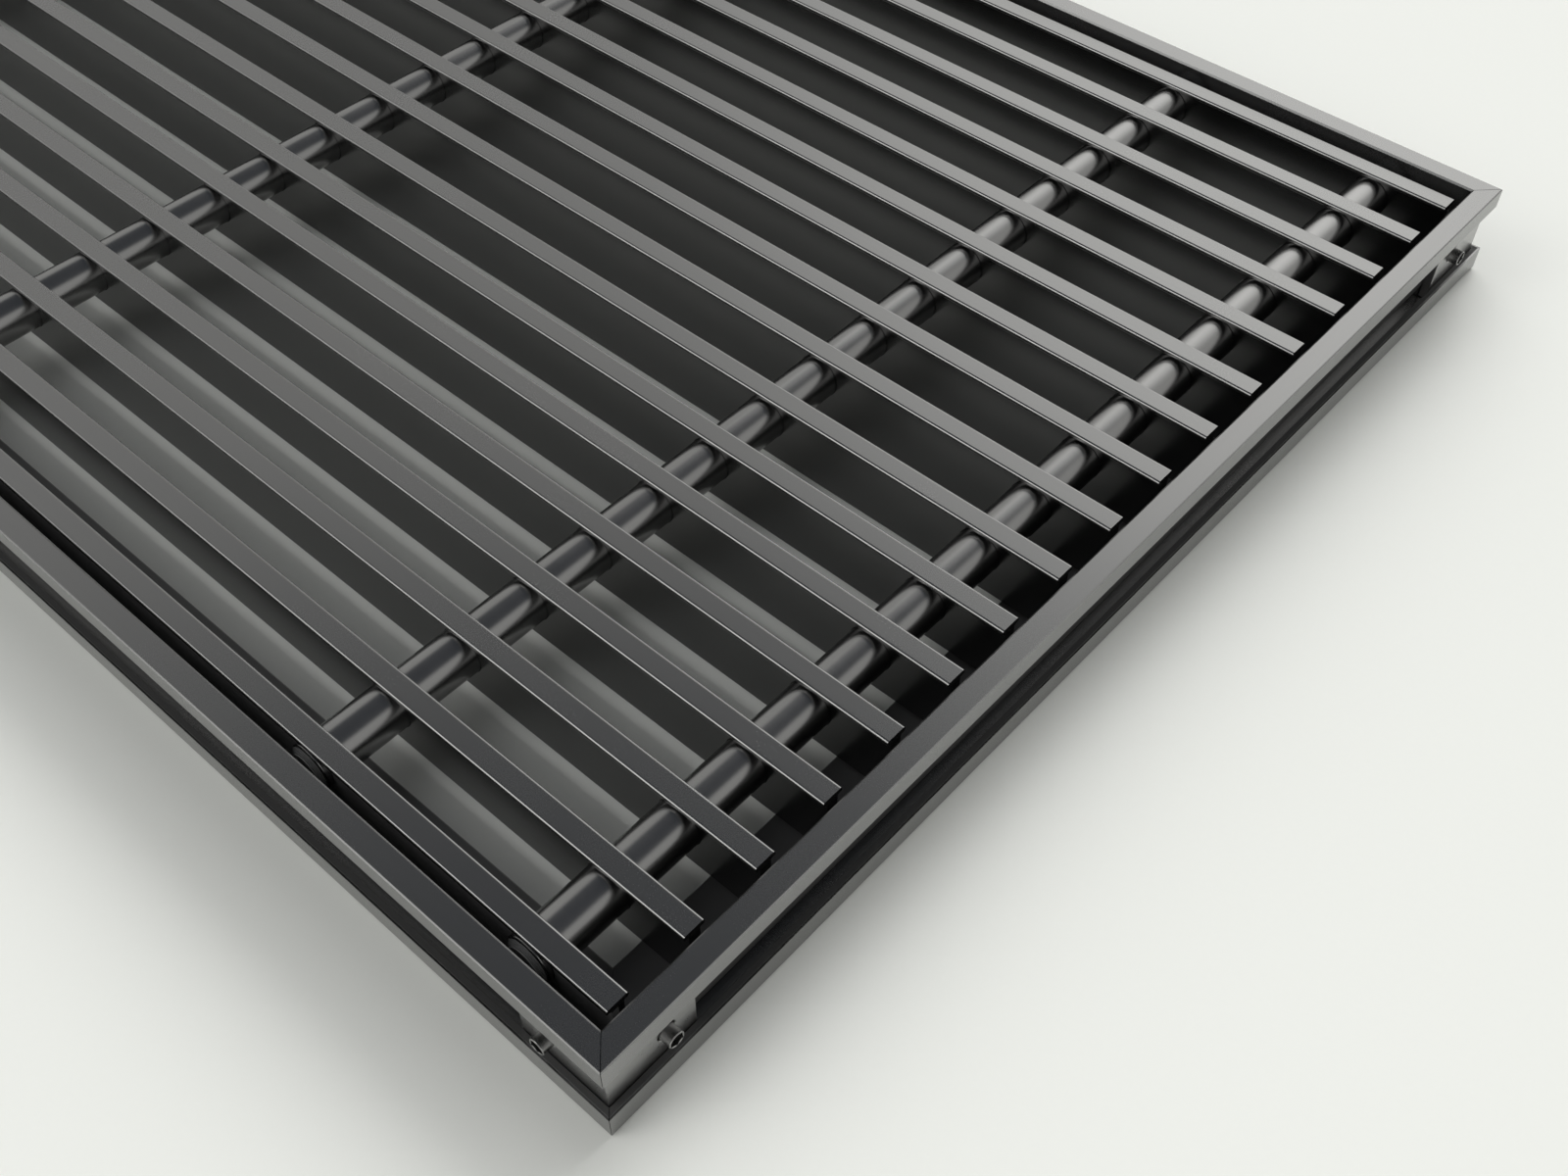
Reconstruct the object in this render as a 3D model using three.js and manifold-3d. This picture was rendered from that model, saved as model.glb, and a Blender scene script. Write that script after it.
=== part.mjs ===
// Linear bar grille with its border frame, as laid over a trench heater.
// Millimetres, +Z up. X runs along the bars, Y across them, and Z = 0 is the floor under the frame.
import * as THREE from "three";
import { mergeVertices } from "three/addons/utils/BufferGeometryUtils.js";
import Module from "manifold-3d";

// Frame: four mitred lengths of one profile
const frameLength = 768.6; // outside, along X
const frameWidth = 298; // outside, along Y
const frameHeight = 23.3;
const flangeWidth = 5.3; // top face, outer edge to inner edge
const topThickness = 2;
const webThickness = 1.3;
const lipThickness = 1.6; // both lips of the outer groove
const topLipHeight = 5; // fascia, down from the top face
const bottomLipHeight = 6; // up from the floor
const baseThickness = 2.5;
const ledgeReach = 20.7; // outer face to the inner edge of the ledge
const outerBevel = 0.25;
const innerBevel = 0.4;
const mitreGap = 0.1; // between two lengths, along the profile

// Corner keys: angle plates that slide into the outer groove, with a set screw in each leg
const keyLeg = 22.3; // from the frame's outer corner to the end of the leg
const keyClearance = 0.15; // to the lips, the web, the base and the top
const keyScrewEdge = 6.9; // from the end of the leg to the screw's axis
const screwDiameter = 3.5;
const screwHoleClearance = 0.3; // all round the screw
const screwProud = 0.7; // beyond the frame's outer face
const screwEndGap = 0.1; // to the web that it presses on
const screwChamfer = 0.2;
const socketWall = 0.36; // least wall round the hexagonal socket
const socketDepth = 2;

// Bars: T sections, their tops a little under the frame's top
const barSpacing = 17.3; // wanted between bar centres
const spacingOffsets = { 1: 0.2, 6: -0.77, 16: -0.59 }; // added to the gap after these bars
const barDrop = 1.8;
const barWidth = 5;
const barSideGap = 3.05; // outer bars to the frame's flange
const barEndGap = 2.2; // bar ends to the frame's flange
const barWebThickness = 2.7;
const barEdgeThickness = 1.2; // flange, at its edge
const barRootThickness = 1.35; // flange, at the web
const barBevelWidth = 0.5;
const barBevelDrop = 0.34;

// Tubes across the bars, and the plugs in their ends
const tubeDiameter = 10.1;
const tubeWall = 1.15;
const tubeCover = 1.65; // bar tops to the tops of the tubes
const tubeHoleClearance = 0.15;
const endTubeInset = 26.7; // from the frame's outer face to the first tube
const leastEndBay = 30; // first tube to the next one in, at least
const tubeSpacing = 150; // between the tubes in the middle
const plugRimStep = 0.3; // plug's rim inside the tube's outer surface
const plugTaper = 1.05; // rim to nose, over the ridges
const plugReach = 1.1; // beyond the tube's end
const plugRidges = 3;
const plugNoseWall = 0.5; // round the recess in the nose
const plugRecessDepth = 0.45;
const plugStubLength = 6;
const plugClearance = 0.12; // to the tube's bore and its end

// Rubber strips on the ledge, that the bars lie on
const stripWidth = 7.5;
const stripThickness = 1.4;
const seatGap = 0.1; // above, below and beside each strip

// Facets of round forms
const tubeSides = 20;
const holeSides = 12;
const plugSides = 14;
const screwSides = 14;

const wasm = await Module();
wasm.setup();

const satinAluminium = new THREE.MeshStandardMaterial({ color: 0x949594, roughness: 0.3, metalness: 1 });
const polishedSteel = new THREE.MeshStandardMaterial({ color: 0x939494, roughness: 0.18, metalness: 1 });
const blackPlastic = new THREE.MeshStandardMaterial({ color: 0x2a2b2a, roughness: 0.35, metalness: 0 });
const keyAluminium = new THREE.MeshStandardMaterial({ color: 0xaaaba8, roughness: 0.3, metalness: 1 });
const screwSteel = new THREE.MeshStandardMaterial({ color: 0x8a8b8b, roughness: 0.25, metalness: 1 });
const blackRubber = new THREE.MeshStandardMaterial({ color: 0x242422, roughness: 0.8, metalness: 0 });

const part = new THREE.Group();

function add(name, geometry, material, parent = part) {
  const mesh = new THREE.Mesh(geometry, material);
  mesh.name = name;
  parent.add(mesh);
  return mesh;
}

function shapeOf(points) {
  return new THREE.Shape(points.map(([x, y]) => new THREE.Vector2(x, y)));
}

function toSolid(geometry) {
  const bare = new THREE.BufferGeometry();
  bare.setAttribute("position", geometry.getAttribute("position").clone());
  if (geometry.index) bare.setIndex(geometry.index.clone());
  const merged = mergeVertices(bare, 1e-4);
  const vertProperties = new Float32Array(merged.attributes.position.array);
  const triVerts = new Uint32Array(merged.index.array);
  return new wasm.Manifold(new wasm.Mesh({ numProp: 3, vertProperties, triVerts }));
}

function toGeometry(solid) {
  const { vertProperties, triVerts } = solid.getMesh();
  const geometry = new THREE.BufferGeometry();
  geometry.setAttribute("position", new THREE.BufferAttribute(new Float32Array(vertProperties), 3));
  geometry.setIndex(new THREE.BufferAttribute(new Uint32Array(triVerts), 1));
  return geometry;
}

// A closed solid of revolution about +Y, from [radius, height] points that start and end on the axis.
function turned(points, sides) {
  return new THREE.LatheGeometry(points.map(([r, h]) => new THREE.Vector2(r, h)), sides);
}

// Frame profile: s runs inward from the outer face, h up from the floor.
function frameProfile() {
  const top = frameHeight;
  const webOuter = flangeWidth - webThickness;
  return [
    [outerBevel, 0],
    [ledgeReach, 0],
    [ledgeReach, baseThickness - outerBevel],
    [ledgeReach - outerBevel, baseThickness],
    [flangeWidth, baseThickness],
    [flangeWidth, top - innerBevel],
    [flangeWidth - innerBevel, top],
    [outerBevel, top],
    [0, top - outerBevel],
    [0, top - topLipHeight],
    [lipThickness, top - topLipHeight],
    [lipThickness, top - topThickness],
    [webOuter, top - topThickness],
    [webOuter, baseThickness],
    [lipThickness, baseThickness],
    [lipThickness, bottomLipHeight],
    [0, bottomLipHeight],
    [0, outerBevel],
  ];
}

// A length of the profile with mitred ends, on the -Y side, its outer face across the width given.
function frameMember(length, width) {
  const geometry = new THREE.ExtrudeGeometry(shapeOf(frameProfile()), { depth: 1, bevelEnabled: false });
  const position = geometry.getAttribute("position");
  for (let i = 0; i < position.count; i++) {
    const s = position.getX(i);
    const h = position.getY(i);
    const end = position.getZ(i) > 0.5 ? 1 : -1;
    position.setXYZ(i, end * (length / 2 - s - mitreGap / 2), s - width / 2, h);
  }
  geometry.computeVertexNormals();
  return geometry;
}

function addFrame() {
  add("frame_front", frameMember(frameLength, frameWidth), satinAluminium);
  add("frame_back", frameMember(frameLength, frameWidth), satinAluminium).rotation.z = Math.PI;
  add("frame_right", frameMember(frameWidth, frameLength), satinAluminium).rotation.z = Math.PI / 2;
  add("frame_left", frameMember(frameWidth, frameLength), satinAluminium).rotation.z = -Math.PI / 2;
}

// The screws stand in the middle of the groove's opening.
const screwHeight = (bottomLipHeight + frameHeight - topLipHeight) / 2;
const screwInset = keyLeg - keyScrewEdge;

// Angle plate for the corner whose outer edge stands at the origin, legs along +X and +Y.
function cornerKey() {
  const outer = lipThickness + keyClearance;
  const inner = flangeWidth - webThickness - keyClearance;
  const low = baseThickness + keyClearance;
  const high = frameHeight - topThickness - keyClearance;
  const plan = shapeOf([
    [outer, outer],
    [keyLeg, outer],
    [keyLeg, inner],
    [inner, inner],
    [inner, keyLeg],
    [outer, keyLeg],
  ]);
  const plate = new THREE.ExtrudeGeometry(plan, { depth: high - low, bevelEnabled: false });
  plate.translate(0, 0, low);
  const holeRadius = screwDiameter / 2 + screwHoleClearance;
  const hole = new THREE.CylinderGeometry(holeRadius, holeRadius, 4 * flangeWidth, screwSides);
  const alongY = hole.clone().translate(screwInset, 0, 0);
  const alongX = hole.clone().rotateZ(Math.PI / 2).translate(0, screwInset, 0);
  alongY.translate(0, 0, screwHeight);
  alongX.translate(0, 0, screwHeight);
  return toGeometry(toSolid(plate).subtract(toSolid(alongY)).subtract(toSolid(alongX)));
}

// Set screw along +Y, its socket end at the low end and its flat point against the web.
function setScrew() {
  const radius = screwDiameter / 2;
  const start = -screwProud;
  const end = flangeWidth - webThickness - screwEndGap;
  const body = turned(
    [
      [0, start],
      [radius - screwChamfer, start],
      [radius, start + screwChamfer],
      [radius, end - screwChamfer],
      [radius - screwChamfer, end],
      [0, end],
    ],
    screwSides,
  );
  const socketRadius = radius - socketWall;
  const socket = new THREE.CylinderGeometry(socketRadius, socketRadius, 2 * socketDepth, 6);
  socket.translate(0, start, 0);
  return toGeometry(toSolid(body).subtract(toSolid(socket)));
}

function addCorners() {
  const key = cornerKey();
  const screw = setScrew();
  const corners = [
    ["front_left", -1, -1],
    ["front_right", 1, -1],
    ["back_right", 1, 1],
    ["back_left", -1, 1],
  ];
  corners.forEach(([place, sideX, sideY], turn) => {
    const corner = new THREE.Group();
    corner.position.set((sideX * frameLength) / 2, (sideY * frameWidth) / 2, 0);
    corner.rotation.z = (turn * Math.PI) / 2;
    part.add(corner);
    add("corner_key_" + place, key, keyAluminium, corner);
    const legs = turn % 2 === 0 ? ["long", "short"] : ["short", "long"];
    const first = add(`key_screw_${place}_${legs[0]}`, screw, screwSteel, corner);
    first.position.set(screwInset, 0, screwHeight);
    const second = add(`key_screw_${place}_${legs[1]}`, screw, screwSteel, corner);
    second.position.set(0, screwInset, screwHeight);
    second.rotation.z = -Math.PI / 2;
  });
}

// Where the bars and tubes lie
function barPlaces() {
  const spread = frameWidth - 2 * (flangeWidth + barSideGap) - barWidth;
  const gaps = Math.max(1, Math.round(spread / barSpacing));
  const offsets = [];
  for (let i = 1; i <= gaps; i++) offsets.push(spacingOffsets[i] ?? 0);
  const even = (spread - offsets.reduce((sum, offset) => sum + offset, 0)) / gaps;
  const places = [-spread / 2];
  for (const offset of offsets) places.push(places[places.length - 1] + even + offset);
  return places;
}

function tubePlaces() {
  const end = frameLength / 2 - endTubeInset;
  const bays = Math.floor((2 * (end - leastEndBay)) / tubeSpacing);
  const places = [-end];
  for (let i = 0; i <= bays; i++) places.push((i - bays / 2) * tubeSpacing);
  places.push(end);
  return places;
}

const barTop = frameHeight - barDrop;
const barBottom = baseThickness + stripThickness + 2 * seatGap;
const barLength = frameLength - 2 * (flangeWidth + barEndGap);
const tubeHeight = barTop - tubeCover - tubeDiameter / 2;

// One bar, centred on X and Y, with a hole for each tube through its web.
function barGeometry() {
  const half = barWidth / 2;
  const web = barWebThickness / 2;
  const right = [
    [web, barBottom - barTop],
    [web, -barRootThickness],
    [half, -barEdgeThickness],
    [half, -barBevelDrop],
    [half - barBevelWidth, 0],
  ];
  const left = right.map(([y, z]) => [-y, z]).reverse();
  const section = shapeOf([...right, ...left]);
  const bar = new THREE.ExtrudeGeometry(section, { depth: barLength, bevelEnabled: false });
  bar.translate(0, 0, -barLength / 2);
  bar.rotateX(Math.PI / 2).rotateZ(Math.PI / 2);
  bar.translate(0, 0, barTop);
  const flats = tubeDiameter / 2 + tubeHoleClearance;
  const radius = flats / Math.cos(Math.PI / holeSides);
  let solid = toSolid(bar);
  for (const x of tubePlaces()) {
    const hole = new THREE.CylinderGeometry(radius, radius, 2 * barWidth, holeSides);
    hole.rotateY(Math.PI / holeSides).translate(x, 0, tubeHeight);
    solid = solid.subtract(toSolid(hole));
  }
  return toGeometry(solid);
}

function addBars() {
  const geometry = barGeometry();
  barPlaces().forEach((y, i) => {
    const name = "bar_" + String(i + 1).padStart(2, "0");
    add(name, geometry, satinAluminium).position.y = y;
  });
}

// Tube along Y, open at both ends, closed on itself as a ring section.
function tubeGeometry(length) {
  const outer = tubeDiameter / 2;
  const inner = outer - tubeWall;
  const section = [
    [inner, -length / 2],
    [outer, -length / 2],
    [outer, length / 2],
    [inner, length / 2],
    [inner, -length / 2],
  ];
  return turned(section, tubeSides);
}

// Plug along +Y: a stub in the tube, then ridges that step down to a nose with a shallow recess.
function plugGeometry() {
  const stub = tubeDiameter / 2 - tubeWall - plugClearance;
  const rim = tubeDiameter / 2 - plugRimStep;
  const recess = rim - plugTaper - plugNoseWall;
  const points = [
    [0, -plugStubLength],
    [stub, -plugStubLength],
    [stub, plugClearance],
  ];
  const step = (plugReach - plugClearance) / (plugRidges + 1);
  for (let i = 0; i <= plugRidges; i++) {
    const radius = rim - (plugTaper * i) / plugRidges;
    points.push([radius, plugClearance + i * step]);
    points.push([radius, plugClearance + (i + 1) * step]);
  }
  points.push([recess, plugReach]);
  points.push([recess, plugReach - plugRecessDepth]);
  points.push([0, plugReach - plugRecessDepth]);
  return turned(points, plugSides);
}

function addTubes() {
  const bars = barPlaces();
  const length = bars[bars.length - 1] - bars[0] + barWidth;
  const tube = tubeGeometry(length);
  const plug = plugGeometry();
  tubePlaces().forEach((x, i) => {
    const axis = new THREE.Group();
    axis.position.set(x, 0, tubeHeight);
    part.add(axis);
    add(`cross_tube_${i + 1}`, tube, polishedSteel, axis);
    const front = add(`tube_plug_front_${i + 1}`, plug, blackPlastic, axis);
    front.position.y = -length / 2;
    front.rotation.z = Math.PI;
    const back = add(`tube_plug_back_${i + 1}`, plug, blackPlastic, axis);
    back.position.y = length / 2;
  });
}

function addStrips() {
  const inset = flangeWidth + seatGap;
  const longLength = frameLength - 2 * inset;
  const shortLength = frameWidth - 2 * (inset + stripWidth + seatGap);
  const longY = frameWidth / 2 - inset - stripWidth / 2;
  const shortX = frameLength / 2 - inset - stripWidth / 2;
  const strips = [
    ["front", longLength, stripWidth, 0, -longY],
    ["back", longLength, stripWidth, 0, longY],
    ["right", stripWidth, shortLength, shortX, 0],
    ["left", stripWidth, shortLength, -shortX, 0],
  ];
  for (const [side, sizeX, sizeY, x, y] of strips) {
    const strip = new THREE.BoxGeometry(sizeX, sizeY, stripThickness);
    const middle = baseThickness + seatGap + stripThickness / 2;
    add("seat_strip_" + side, strip, blackRubber).position.set(x, y, middle);
  }
}

addFrame();
addCorners();
addBars();
addTubes();
addStrips();

export default part;
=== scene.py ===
import math

import bmesh
import bpy
from mathutils import Euler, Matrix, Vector


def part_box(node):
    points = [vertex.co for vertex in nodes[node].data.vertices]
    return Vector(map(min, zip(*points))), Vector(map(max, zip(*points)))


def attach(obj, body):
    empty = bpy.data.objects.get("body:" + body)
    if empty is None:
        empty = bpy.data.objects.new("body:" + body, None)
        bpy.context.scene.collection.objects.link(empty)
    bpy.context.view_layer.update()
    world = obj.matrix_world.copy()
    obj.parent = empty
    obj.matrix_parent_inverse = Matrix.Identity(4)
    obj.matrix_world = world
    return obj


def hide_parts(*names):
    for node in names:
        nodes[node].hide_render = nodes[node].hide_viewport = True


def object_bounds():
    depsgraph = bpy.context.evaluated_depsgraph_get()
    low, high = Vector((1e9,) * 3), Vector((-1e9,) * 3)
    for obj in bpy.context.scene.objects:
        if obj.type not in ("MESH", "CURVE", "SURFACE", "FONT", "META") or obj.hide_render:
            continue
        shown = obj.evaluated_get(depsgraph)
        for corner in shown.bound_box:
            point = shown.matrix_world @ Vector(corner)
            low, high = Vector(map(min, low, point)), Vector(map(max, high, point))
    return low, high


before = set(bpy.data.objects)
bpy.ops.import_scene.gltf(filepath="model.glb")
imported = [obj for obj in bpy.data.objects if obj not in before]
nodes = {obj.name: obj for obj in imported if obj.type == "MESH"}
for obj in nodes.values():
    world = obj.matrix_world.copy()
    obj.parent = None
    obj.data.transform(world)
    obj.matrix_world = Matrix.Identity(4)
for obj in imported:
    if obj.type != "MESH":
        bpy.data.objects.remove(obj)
cadBox = [list(corner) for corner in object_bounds()]
mm = 0.001
print("frame loaded:", len(nodes), "nodes")


# Node trees, for materials and for Geometry Nodes alike

class Wire:  # a socket on which Python's operators add Math nodes
    def __init__(self, tree, socket):
        self.tree = tree
        self.socket = socket

    def math(self, operation, *values):
        return self.tree.node("ShaderNodeMath", {"operation": operation}, dict(enumerate(values)))

    def __add__(self, other):
        return self.math("ADD", self, other)

    def __radd__(self, other):
        return self.math("ADD", other, self)

    def __sub__(self, other):
        return self.math("SUBTRACT", self, other)

    def __rsub__(self, other):
        return self.math("SUBTRACT", other, self)

    def __mul__(self, other):
        return self.math("MULTIPLY", self, other)

    def __rmul__(self, other):
        return self.math("MULTIPLY", other, self)


class NodeTree:
    def __init__(self, tree):
        self.tree = tree
        tree.nodes.clear()

    def node(self, kind, settings=None, sockets=None, out=0):
        made = self.tree.nodes.new(kind)
        for key, value in (settings or {}).items():
            setattr(made, key, value)
        for key, value in (sockets or {}).items():
            if isinstance(value, Wire):
                self.tree.links.new(value.socket, made.inputs[key])
            else:
                made.inputs[key].default_value = value
        return Wire(self, made.outputs[out]) if len(made.outputs) else made

    def ease(self, value, low, high):  # 0 below low, 1 above high, smooth between
        return self.node("ShaderNodeMapRange", {"interpolation_type": "SMOOTHSTEP"},
                         {"Value": value, "From Min": low, "From Max": high})

    def blend(self, factor, first, second):
        return self.node("ShaderNodeMix", {"data_type": "RGBA"},
                         {"Factor": factor, "A": first, "B": second}, out="Result")

    def part(self, vector, axis):
        return self.node("ShaderNodeSeparateXYZ", {}, {"Vector": vector}, out=axis)

    def stretched(self, place, scale):
        return self.node("ShaderNodeMapping", {}, {"Vector": place, "Scale": scale})

    def noise(self, place, scale, detail, **others):
        return self.node("ShaderNodeTexNoise", {},
                         {"Vector": place, "Scale": scale, "Detail": detail, **others})

    def bump(self, height):  # height in metres
        return self.node("ShaderNodeBump", {},
                         {"Strength": 1.0, "Distance": 1.0, "Height": height}, out="Normal")


# Finishes

def grey(value, warmth=0.0):
    return (value * (1 + warmth), value, value * (1 - warmth), 1)


def newFinish(name):
    material = bpy.data.materials.new(name)
    material.use_nodes = True
    tree = NodeTree(material.node_tree)
    return material, tree, tree.node("ShaderNodeTexCoord", out="Object")


def finishOff(material, tree, sockets):
    surface = tree.node("ShaderNodeBsdfPrincipled", {}, sockets)
    tree.node("ShaderNodeOutputMaterial", {}, {"Surface": surface})
    return material


satinLook = {
    "tone": 0.30,
    "toneSpread": 0.02,
    "lineShare": 0.4,  # of that spread, the clouds have the rest
    "warmth": 0.004,
    "roughness": 0.27,
    "roughnessSpread": 0.015,
    "cloudRoughness": 0.04,
    "cloudScale": 18.0,
    "lineWidth": 0.35 * mm,  # extrusion lines
    "lineLength": 60 * mm,
    "lineDepth": 0.0006 * mm,
    "grainSize": 0.16 * mm,
    "grainDepth": 0.0001 * mm,
    "bevelBegins": (0.3, 0.5),  # how far up a bevel faces
    "bevelEnds": (0.9, 0.97),
    "bevelPaintedHighlight": (0.35, 0.8),
    "lowStep": 0.5 * mm,
}
frameLook = {
    **satinLook,
    "edgePaintedHighlightTone": 0.36,  # painted highlight: the bevels are lighter
    "half": (384.3 * mm, 149 * mm),  # the frame's outer sizes from its centre
    "lowHeight": 5 * mm,  # the ledge lies below that height
    "lowFacing": (0.7, 0.95),  # and faces up
    "lowPaintedShadeTone": 0.13,
    "lowRoughness": 0.5,
    "lowMetal": 0.1,  # painted shade: darker and duller on the ledge
    "grooveHeights": (6 * mm, 18.2 * mm),  # the outer groove, where shade is painted
    "grooveBegins": (0.3 * mm, 0.6 * mm),  # depths from the frame's outside
    "grooveEnds": (4 * mm, 5 * mm),
    "grooveStep": 0.3 * mm,
    "groovePaintedShadeTone": 0.08,
    "grooveRoughness": 0.65,
    "grooveMetal": 0.5,
    "jointWidth": 0.13 * mm,  # dark line along the mitres, each side of the joint
    "jointTone": 0.03,
}
barLook = {
    **satinLook,
    "edgePaintedHighlightTone": 0.34,
    "lowHeight": 20 * mm,  # painted shade on the webs, and on the flanges from below
    "lowPaintedShadeTone": 0.23,
    "lowRoughness": 0.23,
    "lowMetal": 1.0,
    "outerFrom": (138 * mm, 138.2 * mm),  # painted light: the outer bars' outer sides are lighter and duller, which lifts the shade in the gap by the frame
    "outerPaintedLightTone": 0.3,
    "outerMetal": 0.1,
}


def satinAluminium(name, along, look):
    material, tree, place = newFinish(name)
    fine, long = 1 / look["lineWidth"], 1 / look["lineLength"]
    stretch = {"x": (long, fine, fine), "y": (fine, long, fine)}[along]
    lines = tree.noise(tree.stretched(place, stretch), 1.0, 3.0)
    grain = tree.noise(place, 1 / look["grainSize"], 2.0)
    cloud = tree.noise(place, look["cloudScale"], 3.0)
    warmth, share = look["warmth"], look["lineShare"]
    colour = tree.blend(cloud * (1 - share) + lines * share,
                        grey(look["tone"] - look["toneSpread"], warmth),
                        grey(look["tone"] + look["toneSpread"], warmth))
    roughness = look["roughness"] + (grain - 0.5) * look["roughnessSpread"]
    roughness = roughness + (cloud - 0.5) * look["cloudRoughness"]
    metal = 1.0

    up = tree.part(tree.node("ShaderNodeNewGeometry", out="Normal"), "Z")
    bevel = tree.ease(up, *look["bevelBegins"]) * (1 - tree.ease(up, *look["bevelEnds"]))
    # painted highlight: lighter colour on bevels that face partly up, in patches
    bevelPaintedHighlight = bevel * tree.ease(cloud + lines * 0.5, *look["bevelPaintedHighlight"])
    colour = tree.blend(bevelPaintedHighlight, colour, grey(look["edgePaintedHighlightTone"], warmth))

    x, y, z = (tree.part(place, axis) for axis in "XYZ")
    # painted shade low down, on the frame's ledge and the bars' webs: a darker tone, with its own
    # roughness and metal
    low = 1 - tree.ease(z, look["lowHeight"] - look["lowStep"], look["lowHeight"])
    if "half" in look:  # the frame: painted shade on the ledge and in the outer groove, dark lines along the mitres
        fromEnd = look["half"][0] - x.math("ABSOLUTE", x)
        fromSide = look["half"][1] - y.math("ABSOLUTE", y)
        depth = x.math("MINIMUM", fromEnd, fromSide)
        inside = tree.ease(depth, *look["grooveEnds"])
        low = low * tree.ease(up, *look["lowFacing"]) * inside
        (base, top), step = look["grooveHeights"], look["grooveStep"]
        groove = tree.ease(depth, *look["grooveBegins"]) * (1 - inside)
        groove = groove * tree.ease(z, base - step, base) * (1 - tree.ease(z, top - step, top))
        # painted shade in the outer groove: darker, rougher, less metal
        colour = tree.blend(groove, colour, grey(look["groovePaintedShadeTone"], warmth))
        roughness = roughness + groove * (look["grooveRoughness"] - look["roughness"])
        metal = 1 - groove * (1 - look["grooveMetal"])
        apart = x.math("ABSOLUTE", fromEnd - fromSide)
        joint = 1 - tree.ease(apart, look["jointWidth"] * 0.5, look["jointWidth"])
        colour = tree.blend(joint, colour, grey(look["jointTone"]))
    colour = tree.blend(low, colour, grey(look["lowPaintedShadeTone"], warmth))
    roughness = roughness + low * (look["lowRoughness"] - look["roughness"])
    metal = metal - low * (1 - look["lowMetal"])
    if "outerFrom" in look:  # the bars: painted light on the outer sides of the first and the last
        outer = low * tree.ease(y.math("ABSOLUTE", y), *look["outerFrom"])
        colour = tree.blend(outer, colour, grey(look["outerPaintedLightTone"], warmth))
        metal = metal - outer * (1 - look["outerMetal"])
    bump = tree.bump(lines * look["lineDepth"] + grain * look["grainDepth"])
    return finishOff(material, tree, {
        "Base Color": colour, "Metallic": metal, "Roughness": roughness, "Normal": bump})


tubeLook = {
    "tone": 0.35,
    "toneRange": (0.9, 1.08),
    "warmth": 0.01,
    "roughness": 0.25,
    "stainRoughness": 0.06,
    "turnRoughness": 0.04,
    "turnWidth": 0.25 * mm,  # fine turned lines round the tube
    "turnLength": 25 * mm,
    "turnDepth": 0.0004 * mm,
    "stainSize": 12 * mm,
}


def polishedTube(name, look):
    material, tree, place = newFinish(name)
    fine, long = 1 / look["turnWidth"], 1 / look["turnLength"]
    rings = tree.noise(tree.stretched(place, (long, fine, long)), 1.0, 2.0)
    stain = tree.noise(place, 1 / look["stainSize"], 4.0, Roughness=0.6)
    dark, light = (look["tone"] * share for share in look["toneRange"])
    colour = tree.blend(stain, grey(dark), grey(light, look["warmth"]))
    roughness = look["roughness"] + (stain - 0.5) * look["stainRoughness"]
    roughness = roughness + (rings - 0.5) * look["turnRoughness"]
    return finishOff(material, tree, {
        "Base Color": colour, "Metallic": 1.0, "Roughness": roughness,
        "Normal": tree.bump(rings * look["turnDepth"])})


steelLook = {
    "toneRange": (0.85, 1.15),
    "warmth": 0.01,
    "broadShare": 0.7,  # of the tone's spread
    "broadScale": 0.08,  # of the fine grain's
    "fineRoughness": 0.12,
    "broadRoughness": 0.08,
}
keyLook = {
    **steelLook,
    "tone": 0.42,
    "roughness": 0.3,
    "grainSize": 0.3 * mm,
    "grainDepth": 0.004 * mm,
}
screwLook = {
    **steelLook,
    "tone": 0.3,
    "roughness": 0.24,
    "grainSize": 0.2 * mm,
    "grainDepth": 0.003 * mm,
}


def rolledSteel(name, look):  # screws and key plates
    material, tree, place = newFinish(name)
    fine = tree.noise(place, 1 / look["grainSize"], 4.0)
    broad = tree.noise(place, look["broadScale"] / look["grainSize"], 3.0)
    dark, light = (look["tone"] * share for share in look["toneRange"])
    share = look["broadShare"]
    colour = tree.blend(broad * share + fine * (1 - share), grey(dark), grey(light, look["warmth"]))
    roughness = look["roughness"] + (fine - 0.5) * look["fineRoughness"]
    roughness = roughness + (broad - 0.5) * look["broadRoughness"]
    return finishOff(material, tree, {
        "Base Color": colour, "Metallic": 1.0, "Roughness": roughness,
        "Normal": tree.bump(fine * look["grainDepth"])})


mouldedLook = {
    "dustScale": 60.0,
    "dustEdge": (0.45, 0.75),
    "dustAmount": 0.5,
    "dustTone": 2.2,  # times the tone
    "dustWarmth": 0.02,
    "dustRoughness": 0.2,
}
plugLook = {
    **mouldedLook,
    "tone": 0.28,
    "roughness": 0.22,
    "grainSize": 0.25 * mm,
    "grainDepth": 0.001 * mm,
}
stripLook = {
    **mouldedLook,
    "tone": 0.02,
    "roughness": 0.7,
    "grainSize": 0.4 * mm,
    "grainDepth": 0.02 * mm,
}


def moulded(name, look):  # plugs and seat strips
    material, tree, place = newFinish(name)
    fine = tree.noise(place, 1 / look["grainSize"], 3.0)
    dust = tree.noise(place, look["dustScale"], 5.0)
    colour = tree.blend(tree.ease(dust, *look["dustEdge"]) * look["dustAmount"], grey(look["tone"]),
                        grey(look["tone"] * look["dustTone"], look["dustWarmth"]))
    return finishOff(material, tree, {
        "Base Color": colour, "Roughness": look["roughness"] + (dust - 0.5) * look["dustRoughness"],
        "Normal": tree.bump(fine * look["grainDepth"])})


floorLook = {
    "colour": (0.905, 0.915, 0.875),
    "spread": 0.006,
    "roughness": 0.8,
    "gloss": 0.2,
    "fibreScale": 900.0,
    "half": 30.0,  # metres from the middle to an edge
    "drop": 0.2 * mm,  # below the part
}


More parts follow.
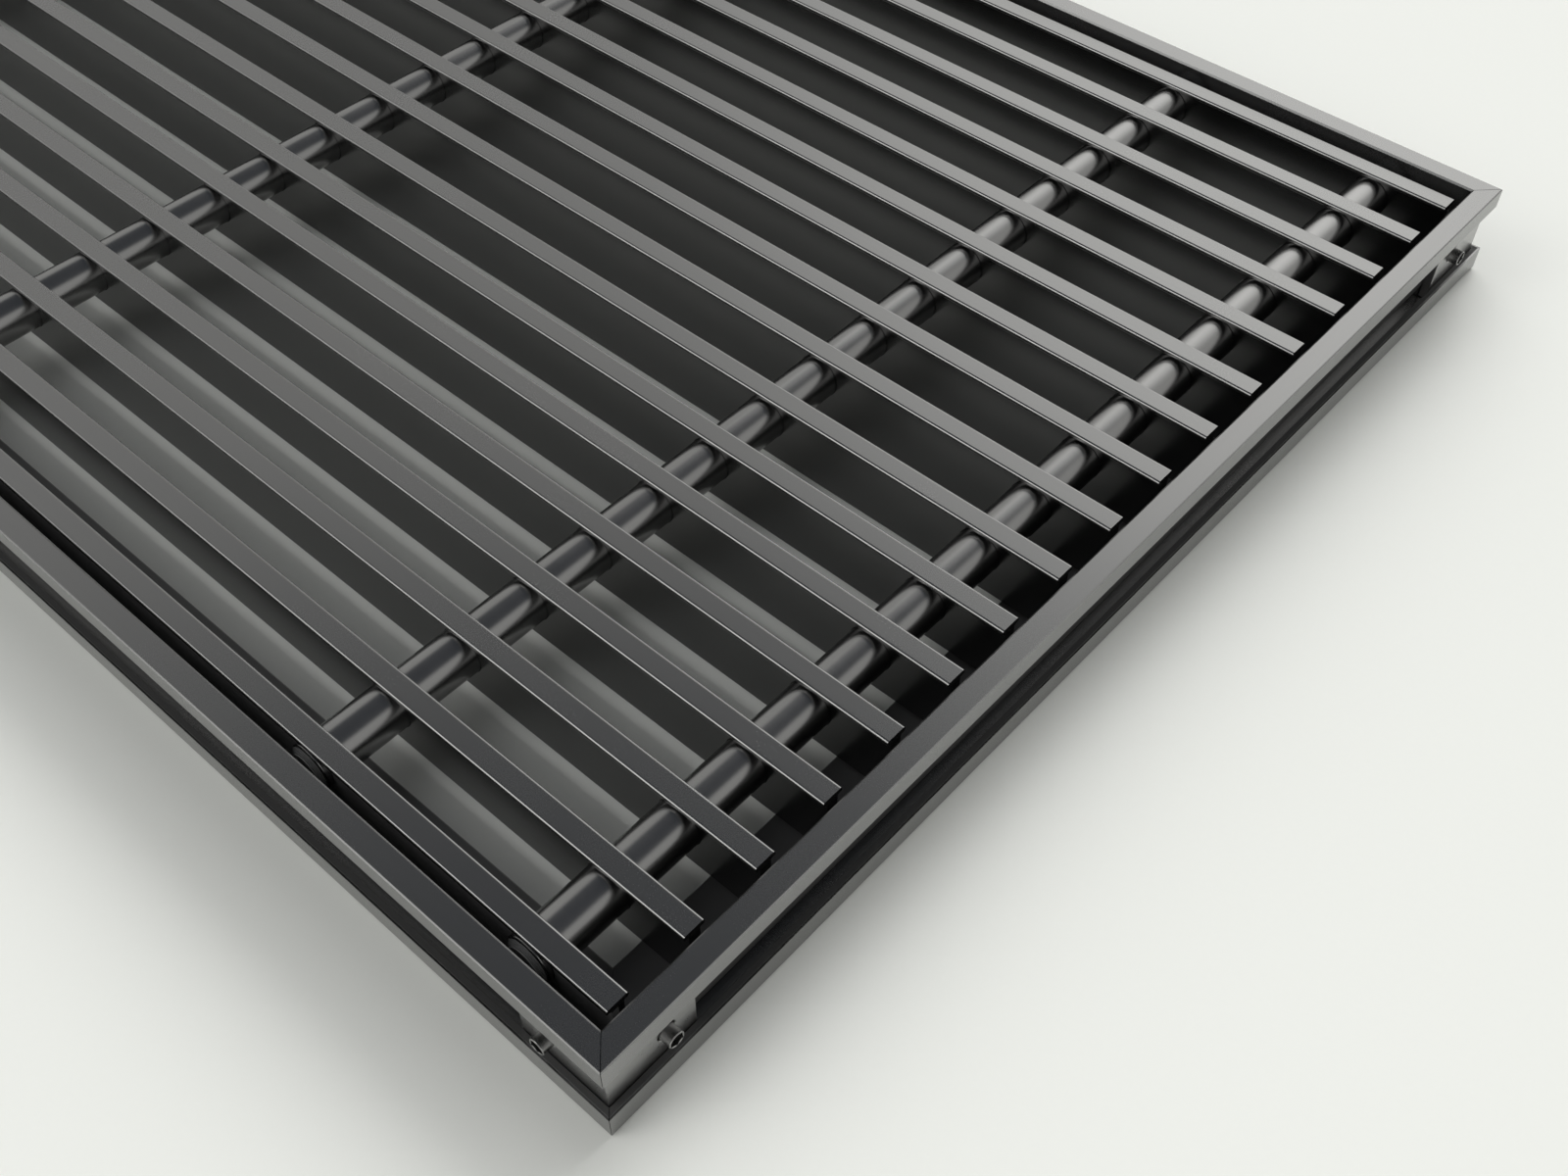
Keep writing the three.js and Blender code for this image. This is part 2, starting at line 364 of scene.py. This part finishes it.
def paperFloor(name, look):
    material, tree, place = newFinish(name)
    fibre = tree.noise(place, look["fibreScale"], 3.0)
    dark, light = ([c + side * look["spread"] for c in look["colour"]] for side in (-1, 1))
    return finishOff(material, tree, {
        "Base Color": tree.blend(fibre, (*dark, 1), (*light, 1)),
        "Roughness": look["roughness"], "Specular IOR Level": look["gloss"]})


finishes = {
    "alongX": satinAluminium("satinAluminiumAlongX", "x", frameLook),
    "alongY": satinAluminium("satinAluminiumAlongY", "y", frameLook),
    "bar": satinAluminium("satinAluminiumBars", "x", barLook),
    "tube": polishedTube("polishedTube", tubeLook),
    "key": rolledSteel("keyPlate", keyLook),
    "screw": rolledSteel("turnedScrew", screwLook),
    "plug": moulded("plugMoulding", plugLook),
    "strip": moulded("stripRubber", stripLook),
}
print("finishes made:", len(finishes))


# Mesh helpers

def placed(name, data):
    made = bpy.data.objects.new(name, data)
    bpy.context.scene.collection.objects.link(made)
    return made


def newPiece(name, mesh, finish, sharpest=28):  # sharpest smooth angle in degrees
    piece = placed(name, mesh)
    mesh.materials.clear()
    mesh.materials.append(finishes[finish])
    for face in mesh.polygons:
        face.use_smooth = True
    mesh.set_sharp_from_angle(angle=math.radians(sharpest))
    return piece


def keptMesh(name, made):
    bmesh.ops.recalc_face_normals(made, faces=made.faces)
    mesh = bpy.data.meshes.new(name)
    made.to_mesh(mesh)
    made.free()
    return mesh


def loftedMesh(name, rings):  # through rings of equal counts, closed at both ends
    made = bmesh.new()
    rows = [[made.verts.new(point) for point in ring] for ring in rings]
    for row, after in zip(rows, rows[1:]):
        for i in range(len(row)):
            j = (i + 1) % len(row)
            made.faces.new((row[i], row[j], after[j], after[i]))
    made.faces.new(rows[0][::-1])
    made.faces.new(rows[-1])
    return keptMesh(name, made)


def roundRing(radius, height, sides):  # about the Y axis
    turns = [2 * math.pi * i / sides for i in range(sides)]
    return [(radius * math.cos(t), height, radius * math.sin(t)) for t in turns]


def hexRing(flats, height, sides):  # the same count of points on a hexagon
    ring = []
    for i in range(sides):
        t = 2 * math.pi * i / sides
        reach = flats / 2 / math.cos((t + math.pi / 6) % (math.pi / 3) - math.pi / 6)
        ring.append((reach * math.cos(t), height, reach * math.sin(t)))
    return ring


def pointsHolder(name, places, turns=None):
    mesh = bpy.data.meshes.new(name)
    mesh.from_pydata(places, [], [])
    turn = mesh.attributes.new("turn", "FLOAT", "POINT")
    turn.data.foreach_set("value", turns or [0.0] * len(places))
    return placed(name, mesh)


def newGeometryTree(name, inputs):
    group = bpy.data.node_groups.new(name, "GeometryNodeTree")
    group.interface.new_socket("Geometry", in_out="OUTPUT", socket_type="NodeSocketGeometry")
    group.interface.new_socket("Geometry", in_out="INPUT", socket_type="NodeSocketGeometry")
    for label, kind in inputs:
        group.interface.new_socket(label, in_out="INPUT", socket_type="NodeSocket" + kind)
    tree = NodeTree(group)
    given = group.nodes.new("NodeGroupInput")
    return group, tree, {socket.name: Wire(tree, socket) for socket in given.outputs if socket.name}


def spread(tree, given, shape):  # shape on every point, turned about Z, then made real
    turn = tree.node("GeometryNodeInputNamedAttribute", {"data_type": "FLOAT"},
                     {"Name": "turn"}, out="Attribute")
    turn = tree.node("ShaderNodeCombineXYZ", {}, {"Z": turn})
    instances = tree.node("GeometryNodeInstanceOnPoints", {},
                          {"Points": given["Geometry"], "Instance": shape, "Rotation": turn})
    real = tree.node("GeometryNodeRealizeInstances", {}, {"Geometry": instances})
    done = tree.node("GeometryNodeSetMaterial", {}, {"Geometry": real, "Material": given["Finish"]})
    tree.node("NodeGroupOutput", {}, {"Geometry": done})


def grown(holder, group, values, name, finish, sharpest=28):  # the tree's result as a plain mesh
    modifier = holder.modifiers.new(group.name, "NODES")
    modifier.node_group = group
    values = {**values, "Finish": finishes[finish]}
    for item in group.interface.items_tree:
        if item.item_type == "SOCKET" and item.in_out == "INPUT" and item.name in values:
            modifier[item.identifier] = values[item.name]
    graph = bpy.context.evaluated_depsgraph_get()
    mesh = bpy.data.meshes.new_from_object(holder.evaluated_get(graph))
    mesh.name = name
    holder.modifiers.remove(modifier)
    bpy.data.objects.remove(holder)
    return newPiece(name, mesh, finish, sharpest)


def pieceTree():  # copies of another object
    labels = [("Piece", "Object"), ("Finish", "Material")]
    group, tree, given = newGeometryTree("copiesOfPiece", labels)
    shape = tree.node("GeometryNodeObjectInfo", {"transform_space": "ORIGINAL"},
                      {"Object": given["Piece"]}, out="Geometry")
    spread(tree, given, shape)
    return group


copiesOfPiece = pieceTree()


def copies(name, mesh, places, turns, finish):
    pattern = placed(name + "Pattern", mesh)
    holder = pointsHolder(name + "Points", places, turns)
    piece = grown(holder, copiesOfPiece, {"Piece": pattern}, name, finish)
    bpy.data.objects.remove(pattern)
    return piece


drillEnds = (-8 * mm, 12 * mm)  # from the pattern's origin, along the hole


def drilled(mesh, holes, bevel=0.0):  # round holes of (radius, sides, (across, height), axis)
    blank = placed("blank", mesh)
    tools = []
    for radius, sides, (across, height), axis in holes:
        drill = loftedMesh("drill", [roundRing(radius, y, sides) for y in drillEnds])
        for vertex in drill.vertices:
            x, y, z = vertex.co
            aside = (across + x, y) if axis == "y" else (y, across - x)
            vertex.co = (*aside, height + z)
        tool = placed("drill", drill)
        cut = blank.modifiers.new("hole", "BOOLEAN")
        cut.operation = "DIFFERENCE"
        cut.object = tool
        tools.append(tool)
    if bevel:
        edges = blank.modifiers.new("edges", "BEVEL")
        edges.width = bevel
        edges.segments = 1
        edges.limit_method = "ANGLE"
    graph = bpy.context.evaluated_depsgraph_get()
    finished = bpy.data.meshes.new_from_object(blank.evaluated_get(graph))
    for extra in [blank, *tools]:
        bpy.data.objects.remove(extra)
    return finished


def middle(name):
    low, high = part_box(name)
    return (low + high) / 2


# Cross tubes

tubeSizes = {
    "Outer Radius": 5.05 * mm,
    "Wall": 1.15 * mm,
    "Edge Radius": 0.25 * mm,
    "Edge Steps": 3,
    "Sides": 72,
}
tubeSmooth = 12  # degrees, so that the tube's flat ends keep their edges


def tubeTree():
    labels = [("Outer Radius", "Float"), ("Wall", "Float"), ("Edge Radius", "Float"),
              ("Edge Steps", "Int"), ("Length", "Float"), ("Sides", "Int"), ("Finish", "Material")]
    group, tree, given = newGeometryTree("hollowTube", labels)
    middleRadius = given["Outer Radius"] - given["Wall"] * 0.5
    path = tree.node("GeometryNodeCurvePrimitiveCircle", {"mode": "RADIUS"},
                     {"Resolution": given["Sides"], "Radius": middleRadius}, out="Curve")
    wall = tree.node("GeometryNodeCurvePrimitiveQuadrilateral", {"mode": "RECTANGLE"},
                     {"Width": given["Wall"], "Height": given["Length"]}, out="Curve")
    wall = tree.node("GeometryNodeFilletCurve", {"mode": "POLY"},
                     {"Curve": wall, "Count": given["Edge Steps"], "Radius": given["Edge Radius"]})
    ring = tree.node("GeometryNodeCurveToMesh", {}, {"Curve": path, "Profile Curve": wall})
    upright = tree.node("GeometryNodeTransform", {},
                        {"Geometry": ring, "Rotation": Euler((math.pi / 2, 0, 0))})
    spread(tree, given, upright)
    return group


tubeNames = [f"cross_tube_{i + 1}" for i in range(7)]
tubeLow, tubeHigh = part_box(tubeNames[0])
tubeEnd = tubeHigh.y
tubes = grown(
    pointsHolder("tubePoints", [middle(name) for name in tubeNames]),
    tubeTree(), {**tubeSizes, "Length": tubeHigh.y - tubeLow.y}, "crossTubes", "tube", tubeSmooth)
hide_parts(*tubeNames)
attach(tubes, "panel")
print("cross tubes:", len(tubes.data.polygons), "faces")


# Bars, with rounded edges

barSizes = {
    "width": 5 * mm,
    "edgeThickness": 1.2 * mm,
    "rootThickness": 1.35 * mm,
    "webThickness": 2.7 * mm,
    "topRadius": 0.55 * mm,
    "underRadius": 0.4 * mm,
    "rootRadius": 0.3 * mm,
    "footRadius": 0.3 * mm,
    "hole": 5.2 * mm,
    "holeSides": 48,
    "arcSteps": 6,
    "support": 0.03 * mm,  # a point beside each fillet keeps the flat faces flat in their shading
}


def roundedOutline(corners, steps, support):  # closed, through (y, z, radius) corners
    outline = []
    for i, (y, z, radius) in enumerate(corners):
        here = Vector((y, z))
        before = (Vector(corners[i - 1][:2]) - here).normalized()
        after = (Vector(corners[(i + 1) % len(corners)][:2]) - here).normalized()
        half = before.angle(after) / 2
        reach = radius / math.tan(half)
        centre = here + (before + after).normalized() * radius / math.sin(half)
        first, last = here + before * reach, here + after * reach
        outline.append(first + before * support)
        turn = math.pi - 2 * half
        for step in range(steps + 1):
            share = step / steps * turn
            spoke = (first - centre) * math.sin(turn - share) + (last - centre) * math.sin(share)
            outline.append(centre + spoke / math.sin(turn))
        outline.append(last + after * support)
    return outline


def barMesh(sizes, length, top, foot, drillPlaces):
    half, web = sizes["width"] / 2, sizes["webThickness"] / 2
    right = [(web, foot, sizes["footRadius"]),
             (web, top - sizes["rootThickness"], sizes["rootRadius"]),
             (half, top - sizes["edgeThickness"], sizes["underRadius"]),
             (half, top, sizes["topRadius"])]
    left = [(-y, z, radius) for y, z, radius in reversed(right)]
    outline = roundedOutline(right + left, sizes["arcSteps"], sizes["support"])
    mesh = loftedMesh("bar", [[(x, y, z) for y, z in outline] for x in (-length / 2, length / 2)])
    return drilled(mesh, [(sizes["hole"], sizes["holeSides"], place, "y") for place in drillPlaces])


barNames = [f"bar_{i + 1:02d}" for i in range(17)]
barLow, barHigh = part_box(barNames[0])
barHoles = [(middle(name).x, middle(name).z) for name in tubeNames]
barPattern = barMesh(barSizes, barHigh.x - barLow.x, barHigh.z, barLow.z, barHoles)
bars = copies("linearBars", barPattern, [(0, middle(name).y, 0) for name in barNames], None, "bar")
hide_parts(*barNames)
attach(bars, "panel")
print("bars:", len(bars.data.polygons), "faces")


# Tube plugs

plugSizes = {
    "rim": 4.75 * mm,
    "taper": 1.05 * mm,
    "reach": 1.1 * mm,
    "ridges": 4,
    "ridgeDepth": 0.22 * mm,
    "ridgeSteps": 4,  # rings to each ridge
    "noseWall": 0.5 * mm,
    "recess": 0.45 * mm,
    "gap": 0.12 * mm,
    "stub": 3.78 * mm,
    "stubLength": 6 * mm,
    "edge": 0.1 * mm,
    "noseEdge": 0.06 * mm,
    "recessTaper": 0.08 * mm,
    "sides": 64,
}


def plugMesh(sizes):
    gap, reach, nose = sizes["gap"], sizes["reach"], sizes["rim"] - sizes["taper"]
    edge, noseEdge, recess = sizes["edge"], sizes["noseEdge"], nose - sizes["noseWall"]
    profile = [(sizes["stub"], -sizes["stubLength"]), (sizes["stub"], gap)]
    profile += [(sizes["rim"] - edge, gap)]
    steps = sizes["ridges"] * sizes["ridgeSteps"]
    for i in range(steps + 1):  # ridges down a cone
        share = i / steps
        valley = 0.5 - 0.5 * math.cos(2 * math.pi * sizes["ridges"] * share)
        radius = sizes["rim"] - sizes["taper"] * share - sizes["ridgeDepth"] * valley
        profile.append((radius, gap + edge + (reach - gap - 2 * edge) * share))
    profile += [(nose - noseEdge, reach), (recess + noseEdge, reach), (recess, reach - noseEdge)]
    profile += [(recess - sizes["recessTaper"], reach - sizes["recess"])]
    return loftedMesh("plug", [roundRing(r, y, sizes["sides"]) for r, y in profile])


plugNames = [f"tube_plug_{end}_{i + 1}" for end in ("front", "back") for i in range(7)]
plugPlaces = []
plugTurns = []
for name in plugNames:
    centre = middle(name)
    back = centre.y > 0
    plugPlaces.append((centre.x, tubeEnd if back else -tubeEnd, centre.z))
    plugTurns.append(0.0 if back else math.pi)
plugs = copies("tubePlugs", plugMesh(plugSizes), plugPlaces, plugTurns, "plug")
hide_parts(*plugNames)
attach(plugs, "panel")
print("tube plugs:", len(plugs.data.polygons), "faces")


# Set screws of the corner keys

screwSizes = {
    "diameter": 3.5 * mm,
    "chamfer": 0.13 * mm,
    "flats": 2.7 * mm,
    "socketDepth": 2 * mm,
    "socketEdge": 0.05 * mm,  # at its floor
    "socketTaper": 0.98,
    "mouthDepth": 0.1 * mm,
    "mouthWidth": 0.17 * mm,  # round mouth beyond the flats
    "chamferEdge": 0.06 * mm,
    "support": 0.02 * mm,
    "sides": 48,
}


def screwMesh(sizes, length):
    sides, radius, chamfer = sizes["sides"], sizes["diameter"] / 2, sizes["chamfer"]
    flats, depth, edge = sizes["flats"], sizes["socketDepth"], sizes["chamferEdge"]
    rings = [
        hexRing(flats * sizes["socketTaper"], depth, sides),
        hexRing(flats, depth - sizes["socketEdge"], sides),
        hexRing(flats, sizes["mouthDepth"], sides),
        roundRing(flats / 2 + sizes["mouthWidth"], 0, sides),
        roundRing(radius - chamfer, 0, sides),
        roundRing(radius - edge, chamfer - edge, sides),
        roundRing(radius, chamfer + sizes["support"], sides),
        roundRing(radius, length - chamfer, sides),
        roundRing(radius - chamfer, length, sides),
    ]
    return loftedMesh("setScrew", rings)


frameCorners = ["front_left", "front_right", "back_right", "back_left"]
cornerSides = [(-1, -1), (1, -1), (1, 1), (-1, 1)]  # sides in X and Y, in the same order
screwNames = [f"key_screw_{corner}_{leg}" for corner in frameCorners for leg in ("long", "short")]
screwPlaces = []
screwTurns = []
for name in screwNames:
    low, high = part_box(name)
    centre = (low + high) / 2
    if name.endswith("long"):  # on the front and back, axis along Y
        front = centre.y < 0
        screwPlaces.append((centre.x, low.y if front else high.y, centre.z))
        screwTurns.append(0.0 if front else math.pi)
        screwLength = high.y - low.y
    else:
        right = centre.x > 0
        screwPlaces.append((high.x if right else low.x, centre.y, centre.z))
        screwTurns.append(math.pi / 2 if right else -math.pi / 2)
screws = copies("keyScrews", screwMesh(screwSizes, screwLength), screwPlaces, screwTurns, "screw")
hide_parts(*screwNames)
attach(screws, "frame")
print("key screws:", len(screws.data.polygons), "faces")


# Corner keys, with round clearance holes and broken edges

keySizes = {
    "hole": 2.05 * mm,
    "sides": 48,
    "edge": 0.15 * mm,
    "behindScrew": 0.05 * mm,  # plate beyond the screws' inner ends
}


def keyMesh(sizes):
    low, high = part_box("corner_key_front_left")
    screwLow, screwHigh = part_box("key_screw_front_left_long")
    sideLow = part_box("key_screw_front_left_short")[0]
    origin = Vector((sideLow.x, screwLow.y, 0))
    outer, tip = low - origin, high - origin
    inner = screwHigh.y - origin.y + sizes["behindScrew"]
    plan = [(outer.x, outer.y), (tip.x, outer.y), (tip.x, inner),
            (inner, inner), (inner, tip.y), (outer.x, tip.y)]
    made = bmesh.new()
    base = made.faces.new([made.verts.new((x, y, low.z)) for x, y in plan])
    raised = bmesh.ops.extrude_face_region(made, geom=[base])["geom"]
    lifted = [item for item in raised if isinstance(item, bmesh.types.BMVert)]
    bmesh.ops.translate(made, vec=(0, 0, high.z - low.z), verts=lifted)
    mesh = keptMesh("cornerKey", made)
    centre = (screwLow + screwHigh) / 2 - origin
    holes = [(sizes["hole"], sizes["sides"], (centre.x, centre.z), axis) for axis in "yx"]
    return drilled(mesh, holes, sizes["edge"]), origin


keyNames = [f"corner_key_{corner}" for corner in frameCorners]
keyPattern, keyOrigin = keyMesh(keySizes)
keyPlaces = [(x * abs(keyOrigin.x), y * abs(keyOrigin.y), 0) for x, y in cornerSides]
keys = copies("cornerKeys", keyPattern, keyPlaces, [turn * math.pi / 2 for turn in range(4)], "key")
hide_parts(*keyNames)
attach(keys, "frame")
print("corner keys:", len(keys.data.polygons), "faces")


# The CAD solids that stay: frame and seat strips

stayers = {"frame_front": "alongX", "frame_back": "alongX",
           "frame_right": "alongY", "frame_left": "alongY"}
stayers.update({name: "strip" for name in nodes if name.startswith("seat_strip_")})
for name, finish in stayers.items():
    for holder in nodes[name].material_slots:
        holder.material = finishes[finish]
print("solids dressed:", len(stayers))


# Floor, light and camera

floorHalf, floorHeight = floorLook["half"], -floorLook["drop"]
floorMesh = bpy.data.meshes.new("floor")
floorMesh.from_pydata([(x * floorHalf, y * floorHalf, floorHeight) for x, y in cornerSides],
                      [], [(0, 1, 2, 3)])
floor = placed("floor", floorMesh)
floorMesh.materials.append(paperFloor("paperFloor", floorLook))

roomLook = {
    "walls": 0.54,  # of the light tent
    "overhead": 0.08,  # its dark top opening
    "wallTint": (1.0, 1.0, 0.975),
    "overheadTint": (0.92, 1.0, 1.12),
    "openingEdge": (0.68, 0.8),  # sine of the elevation where the walls end
    "glows": [  # on the walls: azimuth from +X, elevation, inner and outer half angle, strength
        (102, 27, 0, 34, 1.05),
        (-121, 33, 4, 22, 1.7),
    ],
    "lamps": [  # for matt surfaces alone: azimuth, elevation, width, strength
        (98, 40, 32, 0.85),
        (129, 42, 60, 0.98),
        (-124, 57, 40, 0.4),
    ],
}


def aimed(azimuth, elevation):
    a, e = math.radians(azimuth), math.radians(elevation)
    return Vector((math.cos(a) * math.cos(e), math.sin(a) * math.cos(e), math.sin(e)))


def lightRoom(look):
    world = bpy.data.worlds.new("lightTent")
    bpy.context.scene.world = world
    world.use_nodes = True
    tree = NodeTree(world.node_tree)
    toward = tree.node("ShaderNodeTexCoord", out="Generated")
    up = tree.node("ShaderNodeSeparateXYZ", {}, {"Vector": toward}, out="Z")
    opening = tree.ease(up, *look["openingEdge"])
    level = look["walls"] * (1 - opening)
    for azimuth, elevation, inner, outer, strength in look["glows"]:
        aim = aimed(azimuth, elevation)
        near = tree.node("ShaderNodeVectorMath", {"operation": "DOT_PRODUCT"},
                         {0: toward, 1: aim}, out="Value")
        edges = [math.cos(math.radians(angle)) for angle in (outer, inner)]
        level = level + strength * tree.ease(near, *edges)
    dark = tuple(look["overhead"] * share for share in look["overheadTint"])
    light = tree.node("ShaderNodeVectorMath", {"operation": "SCALE"},
                      {0: look["wallTint"], "Scale": level})
    dark = tree.node("ShaderNodeVectorMath", {"operation": "SCALE"}, {0: dark, "Scale": opening})
    both = tree.node("ShaderNodeVectorMath", {"operation": "ADD"}, {0: light, 1: dark})
    background = tree.node("ShaderNodeBackground", {}, {"Color": both, "Strength": 1.0})
    tree.node("ShaderNodeOutputWorld", {}, {"Surface": background})
    for azimuth, elevation, width, strength in look["lamps"]:
        data = bpy.data.lights.new("softLamp", "SUN")
        data.energy = strength
        data.angle = math.radians(width)
        lamp = placed("softLamp", data)
        lamp.rotation_euler = aimed(azimuth, elevation).to_track_quat("Z", "Y").to_euler()
        lamp.visible_glossy = False


lightRoom(roomLook)

cameraLook = {
    "fromCorner": (94.93, -64.0, 244.99),  # millimetres from the frame's near top corner
    "turn": (40.411, -0.013, 41.846),  # degrees
    "lens": 38.905,
    "sensor": 36,
    "nearest": 0.01,  # metres
}
top = Vector(cadBox[1])
outerCorner = Vector((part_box("frame_front")[1].x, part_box("frame_front")[0].y, top.z))
cameraData = bpy.data.cameras.new("camera")
cameraData.lens = cameraLook["lens"]
cameraData.sensor_width = cameraLook["sensor"]
cameraData.clip_start = cameraLook["nearest"]
camera = placed("camera", cameraData)
camera.location = outerCorner + Vector(cameraLook["fromCorner"]) * mm
camera.rotation_euler = [math.radians(angle) for angle in cameraLook["turn"]]
bpy.context.scene.camera = camera
bpy.context.scene.view_settings.view_transform = "Standard"
print("stage set")

bpy.context.view_layer.update()
